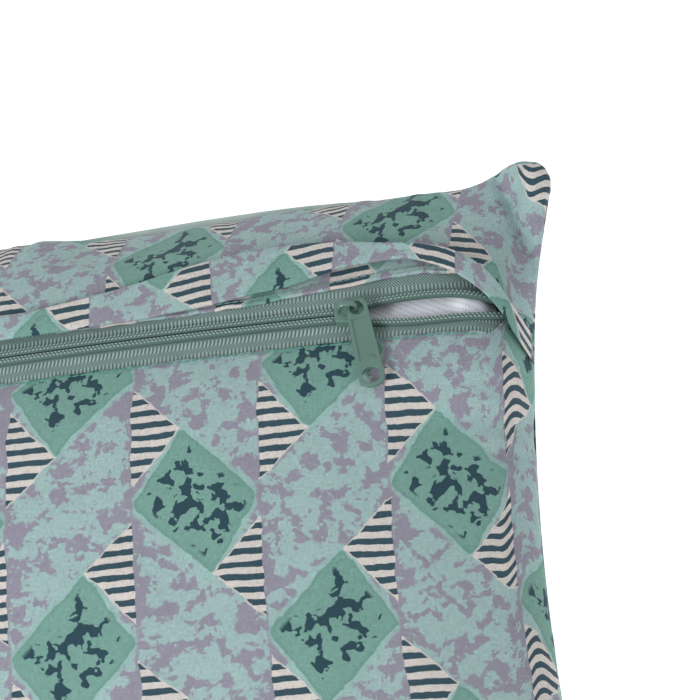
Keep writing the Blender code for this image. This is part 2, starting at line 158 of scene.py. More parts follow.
# %% Unevenness and normals
def ripple(x, y, scale, seed, waves=22):
    """Smooth seeded unevenness, about -1 to 1, with features near scale across."""
    dice = np.random.default_rng(seed)
    total = np.zeros_like(x)
    for _ in range(waves):
        turn, phase = dice.uniform(0.0, 2.0 * np.pi, 2)
        number = 2.0 * np.pi / (scale * dice.uniform(0.7, 1.8))
        total += np.sin(number * (x * np.cos(turn) + y * np.sin(turn)) + phase)
    return total / math.sqrt(waves)


def grid_normals(grid):
    along = np.gradient(grid, axis=0)
    across = np.gradient(grid, axis=1)
    normal = np.cross(along, across)
    return normal / np.maximum(1e-12, np.linalg.norm(normal, axis=-1, keepdims=True))


middle = np.zeros(1)
print("height at the middle", round(float(top_point(middle, middle)[0, 2]) * 1000, 1), "mm")

# %% [markdown]
# ## Meshes
# Cloth has two faces and a cut edge. Solidify would do that too, but a skin made from the grid itself keeps
# each point's cut position: it is the outer grid, the same grid moved inwards, and a rim between them. Bars
# and bands are closed tubes made of rings.

# %% Mesh makers
def new_piece(name, points, faces, material, body="cover", uvs=None):
    mesh = bpy.data.meshes.new(name)
    mesh.from_pydata(np.asarray(points, dtype=float).tolist(), [], faces)
    if uvs is not None:
        layer = mesh.uv_layers.new(name="cut")
        corners = np.empty(len(mesh.loops), dtype=np.int32)
        mesh.loops.foreach_get("vertex_index", corners)
        layer.data.foreach_set("uv", np.asarray(uvs, dtype=np.float32)[corners].ravel())
    mesh.shade_smooth()
    mesh.materials.append(material)
    made = bpy.data.objects.new(name, mesh)
    bpy.context.scene.collection.objects.link(made)
    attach(made, body)
    return made


def grid_faces(rows, columns, shift=0, flip=False):
    row, column = np.meshgrid(np.arange(rows - 1), np.arange(columns - 1), indexing="ij")
    here = (shift + row * columns + column).ravel()
    quads = np.stack([here, here + columns, here + columns + 1, here + 1], axis=1)
    return (quads[:, ::-1] if flip else quads).tolist()


def skin(name, outer, cut, material, thick=CLOTH, body="cover"):
    """A closed sheet: outer is rows x columns x 3 with outward normals, cut its flat position."""
    rows, columns = outer.shape[:2]
    inner = outer - grid_normals(outer) * thick
    points = np.concatenate([outer.reshape(-1, 3), inner.reshape(-1, 3)])
    count = rows * columns
    faces = grid_faces(rows, columns) + grid_faces(rows, columns, count, flip=True)
    rim = [(row, 0) for row in range(rows)] + [(rows - 1, column) for column in range(1, columns)]
    rim += [(row, columns - 1) for row in range(rows - 2, -1, -1)]
    rim += [(0, column) for column in range(columns - 2, 0, -1)]
    ring = [row * columns + column for row, column in rim]
    faces += [(here, here + count, there + count, there) for here, there in zip(ring, ring[1:] + ring[:1])]
    return new_piece(name, points, faces, material, body, np.concatenate([cut.reshape(-1, 2)] * 2))


def tube_grid(name, rings, cut, material, body="cover"):
    """A closed bar from rings x sides x 3."""
    count, sides = rings.shape[:2]
    faces = []
    for ring in range(count - 1):
        here = ring * sides
        for side in range(sides):
            after = (side + 1) % sides
            faces.append((here + side, here + after, here + sides + after, here + sides + side))
    faces.append(tuple(range(sides - 1, -1, -1)))
    faces.append(tuple(range((count - 1) * sides, count * sides)))
    return new_piece(name, rings.reshape(-1, 3), faces, material, body, cut.reshape(-1, 2))


def lengths(grid, axis):
    """Distance along an axis of a grid, from its first row or column."""
    step = np.linalg.norm(np.diff(grid, axis=axis), axis=-1)
    start = np.zeros_like(np.take(step, [0], axis=axis))
    return np.concatenate([start, np.cumsum(step, axis=axis)], axis=axis)


# %% [markdown]
# ## Shader helper
# A printed cloth needs dozens of Math nodes. This small class wraps a node's output, so that a pattern can
# be written as sums and products, and each sign adds the node that does it.

# %% Shader helper
class Value:
    def __init__(self, tree, socket):
        self.tree, self.socket = tree, socket

    def node(self, kind, inputs, output=0, **settings):
        made = self.tree.nodes.new(kind)
        for key, setting in settings.items():
            setattr(made, key, setting)
        for key, given in inputs.items():
            if isinstance(given, Value):
                self.tree.links.new(given.socket, made.inputs[key])
            else:
                made.inputs[key].default_value = given
        return Value(self.tree, made.outputs[output])

    def maths(self, operation, *others):
        inputs = {0: self}
        inputs.update({place + 1: other for place, other in enumerate(others)})
        return self.node("ShaderNodeMath", inputs, operation=operation)

    def __add__(self, other):
        return self.maths("ADD", other)

    __radd__ = __add__

    def __mul__(self, other):
        return self.maths("MULTIPLY", other)

    __rmul__ = __mul__

    def __sub__(self, other):
        return self.maths("SUBTRACT", other)

    def __rsub__(self, other):
        return (self * -1.0) + other

    def __truediv__(self, other):
        return self.maths("DIVIDE", other)

    def step(self, low, high):
        """0 below low, 1 above high."""
        return self.node("ShaderNodeMapRange", {0: self, 1: low, 2: high, 3: 0.0, 4: 1.0})

    def mix(self, a, b):
        """Colour a where this is 0, b where it is 1."""
        return self.node("ShaderNodeMix", {0: self, 6: a, 7: b}, output=2, data_type="RGBA")

    def blend(self, a, b):
        """Number a where this is 0, b where it is 1."""
        return self.node("ShaderNodeMix", {0: self, 2: a, 3: b}, output=0, data_type="FLOAT")


# %% Material helpers
def paint(red, green, blue):
    """A colour from 0 to 255 numbers."""
    def linear(value):
        value = value / 255.0
        return value / 12.92 if value <= 0.04045 else ((value + 0.055) / 1.055) ** 2.4
    return (linear(red), linear(green), linear(blue), 1.0)


def new_material(name, roughness=0.8, metallic=0.0):
    made = bpy.data.materials.new(name)
    made.use_nodes = True
    tree = made.node_tree
    shader = tree.nodes["Principled BSDF"]
    shader.inputs["Roughness"].default_value = roughness
    shader.inputs["Metallic"].default_value = metallic
    shader.inputs["Specular IOR Level"].default_value = 0.25
    return made, tree, shader


def coordinates(tree, source):
    """The piece's cut position, or its Object position, as a vector and its parts."""
    if source == "cut":
        node = tree.nodes.new("ShaderNodeUVMap")
        node.uv_map = "cut"
        place = Value(tree, node.outputs[0])
    else:
        place = Value(tree, tree.nodes.new("ShaderNodeTexCoord").outputs["Object"])
    split = tree.nodes.new("ShaderNodeSeparateXYZ")
    tree.links.new(place.socket, split.inputs[0])
    return place, Value(tree, split.outputs[0]), Value(tree, split.outputs[1])


def noise(place, scale, detail=2.0, rough=0.5, warp=0.0):
    inputs = {"Vector": place, "Scale": scale, "Detail": detail, "Roughness": rough, "Distortion": warp}
    return place.node("ShaderNodeTexNoise", inputs, output=0)


def joined(x, y, z=0.0):
    return x.node("ShaderNodeCombineXYZ", {0: x, 1: y, 2: z})


def set_bump(tree, shader, height, distance, strength=1.0):
    bump = height.node("ShaderNodeBump", {"Height": height, "Distance": distance, "Strength": strength})
    tree.links.new(bump.socket, shader.inputs["Normal"])


# %% [markdown]
# ## The print
# The cloth is printed in columns of marbled bands. Each column has mottled diamonds, with barred triangles
# at two of their sides, and the next column is its mirror image half a repeat further on. An image would
# blur close up, so the pattern is worked out from the cut position: where in its column (a) and in its
# repeat (b) a point is, how far inside a diamond or a triangle, and then noise for the mottling. Two sine
# waves and streaks are the weave.

# %% Print
COLUMN, REPEAT = 0.0470, 0.1060
BAR_PITCH, WEFT_PITCH, WARP_PITCH = 0.0049, 0.00076, 0.00070
# slopes of the diamond's sides, in repeats over a column, and how much its corners are rounded
STEEP_SIDE, GENTLE_SIDE, CORNER_SOFTNESS = 0.7103, 0.4541, 0.05
# where the triangle's two sides start, and their slopes
WEDGE_LOW, WEDGE_LOW_SLOPE, WEDGE_HIGH, WEDGE_HIGH_SLOPE = 0.07, 0.5308, 0.45, 0.4436
# noise scales, in features over a metre
SLOW_DRIFT, FINE_DRIFT, SLUB_SCALE = 95.0, 420.0, 2400.0
GREEN, GREEN_DARK, BLOTCH = paint(128, 170, 159), paint(112, 156, 146), paint(42, 72, 84)
CREAM, BAR = paint(214, 208, 203), paint(52, 80, 92)
AQUA, PURPLE, PALE = paint(160, 188, 188), paint(148, 146, 161), paint(152, 191, 186)
print("columns", COLUMN * 1000, "mm wide, repeat", REPEAT * 1000, "mm")


# %% Weave and drifting edges
def drift(place, u, v):
    """Slow and fine drift of the printed edges, each along u and along v, about -0.5 to 0.5."""
    slow_u = noise(place, SLOW_DRIFT, 2.0) - 0.5
    slow_v = noise(joined(u + 3.7, v), SLOW_DRIFT, 2.0) - 0.5
    fine_u = noise(joined(u, v + 1.3), FINE_DRIFT, 1.0) - 0.5
    fine_v = noise(joined(u + 1.1, v + 2.3), FINE_DRIFT, 1.0) - 0.5
    return slow_u, slow_v, fine_u, fine_v


def woven(place, u, v):
    """The weave's height, and the shade that it gives the colour."""
    weft = (u * (2.0 * math.pi / WEFT_PITCH)).maths("SINE")
    warp = (v * (2.0 * math.pi / WARP_PITCH)).maths("SINE")
    slub = noise(joined(u * 0.12, v), SLUB_SCALE, 2.0) + noise(joined(u, v * 0.12), SLUB_SCALE, 2.0)
    grain = noise(place, 1100.0, 2.0)
    height = weft * warp * 0.25 + slub + weft * warp * 0.35
    shade = slub.step(0.62, 1.38) * 0.36 + weft * warp * 0.14 + grain.step(0.3, 0.7) * 0.18 + 0.70
    return height, shade


# %% Printed cloth
def printed_cloth(name, u_zero, v_zero, column_width=COLUMN):
    """u_zero is where a column that leans left starts, v_zero the middle of its diamond."""
    made, tree, shader = new_material(name, 0.88)
    place, u_flat, v_flat = coordinates(tree, "cut")
    wobble_u, wobble_v, fine_u, fine_v = drift(place, u_flat, v_flat)
    u = u_flat + wobble_u * 0.0030 + fine_u * 0.0009
    v = v_flat + wobble_v * 0.0034 + fine_v * 0.0010
    column = (u - u_zero) / column_width
    index = column.maths("FLOOR")
    odd = (index * 0.5).maths("FRACT") * 2.0
    across = column - index
    a = odd.blend(across, 1.0 - across)
    up = (v - v_zero) / REPEAT + odd * 0.5
    b = (up + 0.5).maths("FRACT") - 0.5
    a_other, b_other = 1.0 - a, b * -1.0
    steep = (a * STEEP_SIDE - b).maths("MINIMUM", a_other * STEEP_SIDE + b)
    gentle = (a_other * GENTLE_SIDE - b).maths("MINIMUM", a * GENTLE_SIDE + b)
    inside = steep.maths("SMOOTH_MIN", gentle, CORNER_SOFTNESS)

    def triangle(p, q):
        return (q - WEDGE_LOW - p * WEDGE_LOW_SLOPE).maths("MINIMUM", WEDGE_HIGH - p * WEDGE_HIGH_SLOPE - q)

    wedge = triangle(a, b).maths("MAXIMUM", triangle(a_other, b_other))
    bar_line = v_flat + wobble_v * 0.0012 + fine_v * 0.0007
    bar_sway = (noise(joined(u_flat * 0.6, v_flat), 150.0, 1.0) - 0.5) * 0.14
    bars = (bar_line / BAR_PITCH + bar_sway).maths("FRACT")
    bar_mask = (bars - 0.5).maths("ABSOLUTE").step(0.250, 0.226) * wedge.step(0.004, 0.010)
    cell = joined(a * COLUMN, b * REPEAT, odd * 0.31)
    middle = (1.0 - inside.step(0.0, 0.16)) * 0.10
    blot = noise(cell, 165.0, 2.0, 0.52, 0.25) + noise(cell, 560.0, 1.0) * 0.14 - middle
    blot_mask = blot.step(0.583, 0.596) * inside.step(0.030, 0.052)
    soft = noise(place, 60.0, 2.0)
    green = inside.step(0.030, 0.004).mix(soft.mix(GREEN, GREEN_DARK), GREEN_DARK)
    diamond = blot_mask.mix(green, BLOTCH)
    rim = (across - 0.5).maths("ABSOLUTE").step(0.36, 0.50)
    mottle = noise(place, 135.0, 5.0, 0.62, 0.2) + noise(place, 520.0, 2.0) * 0.14 + rim * 0.075
    band = mottle.step(0.588, 0.606).mix(AQUA, PURPLE)
    outline = inside.step(-0.030, -0.018)
    band = (outline * 0.75).mix(band, PALE)
    column_edge = (across - 0.5).maths("ABSOLUTE").step(0.482, 0.492)
    band = (column_edge * 0.7).mix(band, PURPLE)
    wedge_colour = bar_mask.mix(CREAM, BAR)
    colour = wedge.step(-0.001, 0.002).mix(band, wedge_colour)
    colour = inside.step(0.0, 0.003).mix(colour, diamond)
    height, shade = woven(place, u_flat, v_flat)
    shades = joined(shade, shade, shade)
    colour = place.node("ShaderNodeVectorMath", {0: colour, 1: shades}, operation="MULTIPLY")
    tree.links.new(colour.socket, shader.inputs["Base Color"])
    shader.inputs["Sheen Weight"].default_value = 0.08
    set_bump(tree, shader, height, 0.00018, 0.8)
    print(name, len(tree.nodes), "nodes")
    return made


# %% [markdown]
# ## Other finishes
# The zip tape is woven with two ribbed bands and twill between them, drawn from the distance to the chain.
# The castings are painted metal, so they get a thin coat. The liner is non-woven sheet, pressed with rows
# of dots. Each print starts at its own place, because the two back panels were cut from different lengths
# of the cloth.

# %% Zip, thread, metal and lining finishes
def tape_cloth(name):
    """Ribs across the tape in two bands, with twill between them; v is the distance from the chain."""
    made, tree, shader = new_material(name, 0.75)
    place, u, v = coordinates(tree, "cut")
    out = v.maths("ABSOLUTE")
    rib = (u / RIB_PITCH).maths("FRACT").maths("PINGPONG", 0.5) * 2.0
    first = out.step(0.0035, 0.0039) * out.step(0.0069, 0.0065)
    second = out.step(0.0088, 0.0092) * out.step(0.0118, 0.0114)
    ribs = rib.step(0.30, 0.62) * (first + second * 0.8)
    twill = ((u + out * 0.9) / 0.00115).maths("FRACT").maths("PINGPONG", 0.5) * 2.0
    plain = twill.step(0.35, 0.75) * (1.0 - first) * (1.0 - second) * 0.75
    light = ribs + plain
    colour = light.mix(paint(90, 114, 111), paint(162, 184, 179))
    tree.links.new(colour.socket, shader.inputs["Base Color"])
    set_bump(tree, shader, light + noise(place, 1500.0, 1.0) * 0.3, 0.00022, 0.8)
    return made


def plain_finish(name, colour, roughness, metallic=0.0, grain=0.0, grain_size=0.001, coat=0.0):
    made, tree, shader = new_material(name, roughness, metallic)
    shader.inputs["Base Color"].default_value = colour
    shader.inputs["Coat Weight"].default_value = coat
    if grain:
        place, _, _ = coordinates(tree, "object")
        set_bump(tree, shader, noise(place, 1.0 / grain_size, 2.0), grain, 0.6)
    return made


def lining_cloth(name):
    """Non-woven sheet pressed with staggered dots."""
    made, tree, shader = new_material(name, 0.9)
    place, u, v = coordinates(tree, "cut")
    row = (v / 0.0011).maths("FLOOR")
    shift = (row * 0.5).maths("FRACT")
    du = (u / 0.0022 + shift).maths("FRACT") - 0.5
    dv = (v / 0.0011).maths("FRACT") - 0.5
    far = (du * du * 4.0 + dv * dv).maths("SQRT")
    dot = far.step(0.34, 0.20)
    fibres = noise(joined(u, v * 3.0), 900.0, 3.0)
    colour = dot.mix(paint(232, 235, 244), paint(205, 208, 220))
    tree.links.new(colour.socket, shader.inputs["Base Color"])
    set_bump(tree, shader, fibres * 0.4 - dot, 0.0002, 0.7)
    return made


LOWER_PRINT = printed_cloth("print_lower", 0.0134, -0.0590)
UPPER_PRINT = printed_cloth("print_upper", 0.0345, 0.0335 - REPEAT / 2.0, 0.0440)
UNDER_PRINT = printed_cloth("print_under", 0.0, 0.0)
FLAP_PRINT = printed_cloth("print_flap", 0.004, 0.030)
TAPE = tape_cloth("zip_tape")
COIL = plain_finish("coil_cord", paint(84, 108, 102), 0.6, grain=0.0001, grain_size=0.0004)
COIL_STITCH = plain_finish("coil_stitch", paint(152, 176, 170), 0.55)
THREAD_PLAIN = plain_finish("thread_plain", paint(112, 142, 136), 0.65)
THREAD = plain_finish("thread", paint(84, 146, 134), 0.65, grain=0.00006, grain_size=0.0002)
METAL = plain_finish("painted_metal", paint(104, 136, 126), 0.34, 0.30, coat=0.25)
LINING = lining_cloth("lining")
print("finishes", [made.name for made in bpy.data.materials])

# %% [markdown]
# ## Settling the cloth
# Filling pushes the cloth out, and the seam, which can't stretch, gathers it. The whole cover is one net of
# cloth, cut flat and a little larger than the form. It is blown up gently from inside while the zip holds
# it, so it draws in and puckers along its seams. Only each knot's movement is kept, and the fine grids read
# it from there.

# %% Settling
NET_LONG, NET_WIDE, NET_POWER = 128, 92, 1.25
CUT_HALF_LENGTH, CUT_HALF_WIDTH = 0.2640, 0.1885
SETTLE_FRAMES, SETTLE_LIMIT = 26, 0.0045
PRESSURE, CLOTH_PULL, CLOTH_SHEAR, CLOTH_BEND = 1.6, 25.0, 6.0, 0.08
HELD_FREE, HELD_UNDER, HELD_STIFFNESS = 0.34, 0.42, 0.35


def settle():
    """How far each knot of the net moves from the form, on the top and on the underside."""
    s, t = np.meshgrid(spaced(NET_LONG, NET_POWER), spaced(NET_WIDE, NET_POWER), indexing="ij")
    top, under = top_point(s, t), under_point(s, t)
    rows, columns = s.shape
    count = rows * columns
    edge = np.zeros_like(s, dtype=bool)
    edge[[0, -1], :] = True
    edge[:, [0, -1]] = True
    number = np.arange(count).reshape(rows, columns)
    below = number.copy()
    below[~edge] = count + np.arange(int((~edge).sum()))
    flat = np.stack([s * CUT_HALF_LENGTH, t * CUT_HALF_WIDTH, s * 0.0], axis=-1)
    start = np.concatenate([top.reshape(-1, 3), under[~edge]])
    spread = np.concatenate([flat.reshape(-1, 3), flat[~edge]])
    uneven = ripple(start[:, 0], start[:, 1], 0.016, 5) * 0.0004
    start[:, 2] += uneven * np.concatenate([(~edge).ravel(), np.ones(len(spread) - count, bool)])
    faces = grid_faces(rows, columns)
    corner = np.asarray(faces)
    faces += below.ravel()[corner][:, ::-1].tolist()
    mesh = bpy.data.meshes.new("net")
    mesh.from_pydata(start.tolist(), [], faces)
    net = bpy.data.objects.new("net", mesh)
    bpy.context.scene.collection.objects.link(net)
    net.shape_key_add(name="Basis")
    cut = net.shape_key_add(name="cut")
    cut.data.foreach_set("co", spread.astype(np.float32).ravel())
    held = net.vertex_groups.new(name="held")
    away = np.abs(start[:, 1] - ZIP_Y)
    weight = HELD_FREE + (1.0 - HELD_FREE) * (1.0 - ease((away - 0.014) / 0.010))
    weight[count:] = HELD_UNDER
    for level in np.unique(np.round(weight, 2)):
        held.add(np.nonzero(np.round(weight, 2) == level)[0].tolist(), float(level), "REPLACE")
    cloth = net.modifiers.new("cloth", "CLOTH")
    settings = cloth.settings
    settings.quality = 7
    settings.mass = 0.15
    settings.tension_stiffness = settings.compression_stiffness = CLOTH_PULL
    settings.shear_stiffness = CLOTH_SHEAR
    settings.bending_stiffness = CLOTH_BEND
    settings.use_pressure = True
    settings.uniform_pressure_force = PRESSURE
    settings.vertex_group_mass = "held"
    settings.pin_stiffness = HELD_STIFFNESS
    settings.rest_shape_key = cut
    settings.effector_weights.gravity = 0.0
    cloth.collision_settings.use_collision = False
    cloth.point_cache.frame_end = SETTLE_FRAMES
    for step in range(1, SETTLE_FRAMES + 1):
        bpy.context.scene.frame_set(step)
    settled = net.evaluated_get(bpy.context.evaluated_depsgraph_get()).to_mesh()
    ends = np.empty(len(settled.vertices) * 3)
    settled.vertices.foreach_get("co", ends)
    moved = ends.reshape(-1, 3) - start
    far = np.linalg.norm(moved, axis=1, keepdims=True)
    moved *= SETTLE_LIMIT * np.tanh(far / SETTLE_LIMIT) / np.maximum(far, 1e-9)
    print("settled", len(moved), "knots; moved up to", round(float(far.max()) * 1000, 1), "mm, mean",
          round(float(far.mean()) * 1000, 2))
    bpy.context.scene.frame_set(1)
    bpy.data.objects.remove(net)
    return moved[:count].reshape(rows, columns, 3), moved[below.ravel()].reshape(rows, columns, 3)


MOVED_TOP, MOVED_UNDER = settle()

# %% [markdown]
# ## Cover points
# A cover point is the form, plus the net's movement, plus what the net is too coarse for: the corners,
# which the filling pushes into blunt knobs that turn up, and the small gathers that the edge seam pulls.

# %% Cover points


def sampled(moved, s, t):
    """The net's movement between its knots, by cubic interpolation."""
    def place(value, count):
        even = np.sign(value) * (1.0 - (1.0 - np.abs(value)) ** (1.0 / NET_POWER))
        return np.clip((even + 1.0) / 2.0 * count, 0.0, count - 1e-6)

    rows, columns = place(s, NET_LONG), place(t, NET_WIDE)
    row, column = np.floor(rows).astype(int), np.floor(columns).astype(int)
    p, q = (rows - row)[..., None], (columns - column)[..., None]

    def weights(f):
        return ((-f + 2 * f * f - f ** 3) / 2, (2 - 5 * f * f + 3 * f ** 3) / 2,
                (f + 4 * f * f - 3 * f ** 3) / 2, (f ** 3 - f * f) / 2)

    total = np.zeros(s.shape + (3,))
    for i, along in enumerate(weights(p)):
        at_row = np.clip(row + i - 1, 0, NET_LONG)
        for j, across in enumerate(weights(q)):
            total += along * across * moved[at_row, np.clip(column + j - 1, 0, NET_WIDE)]
    return total


# %% Corners and gathers
EAR = np.array([0.0066, 0.0030, 0.0115])
EAR_ROUND, EAR_SPREAD, KNOB, CREASE = 0.0190, 0.0460, 0.0055, 0.0050
DRAWN_IN = 0.0048


def corner_ear(s, t, side):
    """The stuffed corner ends in a blunt knob that turns up, with a crease behind it."""
    p, q = (1.0 - np.abs(s)) * HALF_LENGTH, (1.0 - np.abs(t)) * HALF_WIDTH
    u, v = np.clip(1.0 - p / EAR_ROUND, 0.0, 1.0), np.clip(1.0 - q / EAR_ROUND, 0.0, 1.0)
    away = 1.95 * p + 0.80 * q
    tip = ease(1.0 - away / EAR_SPREAD)
    rim = np.sqrt((1.0 - np.abs(s) ** 50) * (1.0 - np.abs(t) ** 40))
    puff = KNOB * np.exp(-((away - 0.016) / 0.013) ** 2) * rim * side
    puff = puff - CREASE * np.exp(-((away - 0.034) / 0.0050) ** 2) * rim * (side > 0)
    along = EAR[0] * tip - u * (1.0 - np.sqrt(1.0 - v * v / 2.0)) * EAR_ROUND
    across = EAR[1] * tip - v * (1.0 - np.sqrt(1.0 - u * u / 2.0)) * EAR_ROUND
    return np.stack([np.sign(s) * along, np.sign(t) * across, EAR[2] * tip + puff], axis=-1)


def free_of_zip(y):
    off = y - ZIP_Y
    return np.where(off > 0.0, ease((off - 0.024) / 0.016), ease((-off - 0.013) / 0.014))


def gathers(grid, s, t):
    """Short puckers square to the side seams."""
    side = np.exp(-(1.0 - np.abs(s)) * 0.25 / 0.011) * ripple(grid[..., 1], grid[..., 0] * 0.2, 0.010, 21)
    long = np.exp(-(1.0 - np.abs(t)) * 0.17 / 0.011) * ripple(grid[..., 0], grid[..., 1] * 0.2, 0.011, 22)
    rim = (1.0 - np.abs(s) ** 40) * (1.0 - np.abs(t) ** 40)
    return (side * 1.5 + long) * 0.0009 * rim


def drawn_in(s, t):
    """The long side behind the zip pulls in between its middle and its corners."""
    x = np.abs(s) * HALF_LENGTH
    pull = DRAWN_IN * ease((x - 0.040) / 0.040) * (1.0 - ease((x - 0.198) / 0.022))
    return np.stack([s * 0.0, -pull * np.maximum(0.0, t) ** 4, s * 0.0], axis=-1)


def cover_top(s, t):
    grid = top_point(s, t) + drawn_in(s, t)
    free = free_of_zip(grid[..., 1])
    grid = grid + sampled(MOVED_TOP, s, t) * free[..., None] + corner_ear(s, t, 1.0)
    x, y = grid[..., 0], grid[..., 1]
    soft = ripple(x, y, 0.030, 8) * 0.00035 + ripple(x, y, 0.012, 9) * 0.0001
    return grid + grid_normals(grid) * ((soft + gathers(grid, s, t)) * free)[..., None]


def cover_under(s, t):
    grid = under_point(s, t) + drawn_in(s, t) + sampled(MOVED_UNDER, s, t) + corner_ear(s, t, -1.0)
    grid[..., 2] = np.maximum(grid[..., 2], 0.0)
    return grid


# %% [markdown]
# ## Cover panels
# The cover has one front panel and two back panels, which leave a gap for the zip. Each grid starts at the
# cloth's edge and keeps its flat cut lengths as its print position, so the pattern bends with the cloth. At
# the zip the cloth folds under, and the stitch line pulls a small valley into the fold. The gap closes
# where the zip ends.

# %% Panels
LONG_STEPS, LOWER_STEPS, UPPER_STEPS = 300, 140, 90
CLOSE_START, CLOSE_LENGTH = 0.2235, 0.0095
ZIP_REACH = 0.2360

# place along the zip, and how far the upper cloth edge lies from the chain there, in millimetres
UPPER_WINDOW = np.array([(-230, 11.5), (-100, 11.5), (0, 9.5), (60, 8.6), (110, 8.8), (137, 9.8),
                         (155, 12), (173, 14), (192, 17), (205, 16.5), (216, 13.5), (230, 11.5)]) / 1000.0


def window(x, side):
    """Distance of a cloth edge from the chain; the edges close up where the zip ends."""
    total = np.interp(x - 0.004, *UPPER_WINDOW.T) + np.interp(x + 0.004, *UPPER_WINDOW.T)
    wide = total / 2.0 if side > 0 else ZIP_WINDOW
    return wide * (1.0 - 0.985 * ease((np.abs(x) - CLOSE_START) / CLOSE_LENGTH))


def zip_edge_share(s, side):
    along, across = reach(s, ZIP_Y / HALF_WIDTH)
    return (ZIP_Y + side * window(s * along, side)) / across


def folded_edge(grid, distance):
    """Raise the folded edge and sink the stitch line along it."""
    x = grid[..., 0]
    fold = 0.0007 * np.exp(-(distance / 0.0042) ** 2) - 0.0006 * np.exp(-(distance / 0.0006) ** 2)
    beat = 0.7 + 0.3 * np.cos(2 * np.pi * x / 0.0032)
    stitch = 0.00045 * np.exp(-((distance - 0.0019) / 0.0008) ** 2) * beat
    pucker = 0.00035 * np.exp(-(distance / 0.006) ** 2) * ripple(x, distance * 0.2, 0.0075, 31)
    sewn = 1.0 - ease((np.abs(x) - CLOSE_START) / CLOSE_LENGTH)
    return grid + grid_normals(grid) * ((fold - stitch + pucker) * sewn)[..., None]


cloth_edges = [round(1000 * float(window(SLIDER_X, side)), 1) for side in (-1.0, 1.0)]
print("cloth edges at the slider", cloth_edges, "mm from the chain")


# %% Back and front panels
def back_panel(name, side, steps, material, node):
    s_line = spaced(LONG_STEPS, 1.35)
    marks = np.linspace(0.0, 1.0, steps + 1)
    marks = 0.35 * marks + 0.65 * (marks ** 2.2)
    edge = np.asarray(zip_edge_share(s_line, side))[:, None]
    t = edge + (side - edge) * marks[None, :]
    s = np.broadcast_to(s_line[:, None], t.shape).copy()
    grid = cover_top(s, t)
    across = lengths(grid, 1)
    grid = folded_edge(grid, across)
    along = lengths(grid, 0)
    along = along - along[np.argmin(np.abs(s_line - SLIDER_X / ZIP_REACH))]
    cut = np.stack([along, side * across], axis=-1)
    if side < 0:
        grid, cut = grid[:, ::-1], cut[:, ::-1]
    made = skin(name, grid, cut, material)
    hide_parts(node)
    return made


cover_lower = back_panel("cover_back_lower", -1.0, LOWER_STEPS, LOWER_PRINT, "back_panel_lower")
cover_upper = back_panel("cover_back_upper", 1.0, UPPER_STEPS, UPPER_PRINT, "back_panel_upper")

s_under, t_under = np.meshgrid(spaced(160, 1.35), spaced(100, 1.35), indexing="ij")
under_grid = cover_under(s_under, t_under)
under_cut = np.stack([lengths(under_grid, 0), lengths(under_grid, 1)], axis=-1)
cover_front = skin("cover_front", under_grid[:, ::-1], under_cut[:, ::-1], UNDER_PRINT)
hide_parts("front_panel")
print("cover faces", [len(o.data.polygons) for o in (cover_lower, cover_upper, cover_front)])

# %% [markdown]
# ## The zip
# A coil zip is two woven tapes, each with a cord of nylon turns sewn along its inner edge. They are stiff
# along and soft across, so all of them follow one moving frame: a place on the arc, and the directions
# along the chain, across it and out of the cloth. Past the slider the two halves part and leave the mouth
# open.

# %% Zip frame
TAPE_INNER, TAPE_HALF, TAPE_POINTS = 0.0016, 0.0156, 15


def zip_base(x):
    return np.stack([x, x * 0.0 + ZIP_Y, SEAM_HEIGHT + arc_height(x) * end_fade(x)], axis=-1)


def zip_frame(x):
    lean = np.arctan(ZIP_LEAN * end_fade(x))
    across = np.stack([x * 0.0, np.cos(lean), -np.sin(lean)], axis=-1)
    along = zip_base(x + 0.0005) - zip_base(x - 0.0005)
    along /= np.linalg.norm(along, axis=-1, keepdims=True)
    return zip_base(x), along, across, np.cross(along, across)


def zip_place(x, off, height):
    base, _, across, up = zip_frame(x)
    sink = -0.0010 * (1.0 - end_fade(x))
    return base + across * off[..., None] + up * (height + sink)[..., None]


def mouth_half(x):
    start = SLIDER_X - MOUTH_LEAD
    part = np.clip((x - start) / (MOUTH_END - start), 0.0, 1.0)
    return MOUTH * np.sin(np.pi * part) ** 0.6


mouth_middle = np.array([(SLIDER_X + MOUTH_END) / 2.0])
print("the mouth parts the coils by up to", round(2000 * float(mouth_half(mouth_middle)[0]), 1), "mm")


# %% Tapes
ZIP_LINE = ZIP_END * spaced(420, 1.25)

for side, word in ((-1.0, "lower"), (1.0, "upper")):
    share_out = np.linspace(0.0, 1.0, TAPE_POINTS)[None, :]
    x = np.broadcast_to(ZIP_LINE[:, None], (len(ZIP_LINE), TAPE_POINTS)).copy()
    inner = TAPE_INNER + mouth_half(x)
    off = inner + (np.maximum(TAPE_HALF, window(x, side) + 0.0030) - inner) * share_out
    wave = ripple(x, off * 0.5, 0.012, 41 + int(side)) * 0.00022 * ease((off - 0.004) / 0.004)
    height = -0.0013 + 0.00025 * np.sin(np.pi * share_out) + wave
    tape = zip_place(x, side * off, height)
    cut = np.stack([lengths(tape, 0), off], axis=-1)
    if side < 0:
        tape, cut = tape[:, ::-1], cut[:, ::-1]
    piece = skin("tape_" + word, tape, cut, TAPE, 0.0005)
    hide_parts("zip_tape_" + word)
    print(piece.name, len(piece.data.polygons), "faces")

# %% [markdown]
# ## Stitches
# There are over a thousand small stitches, all alike. Modelling one and repeating it with Geometry Nodes
# keeps them regular: the group sets a small rounded stitch on every point it is given and turns it by the
# point's own angles. The result is made real and turned into a plain mesh, which can be exported.

# %% Stitch repeater


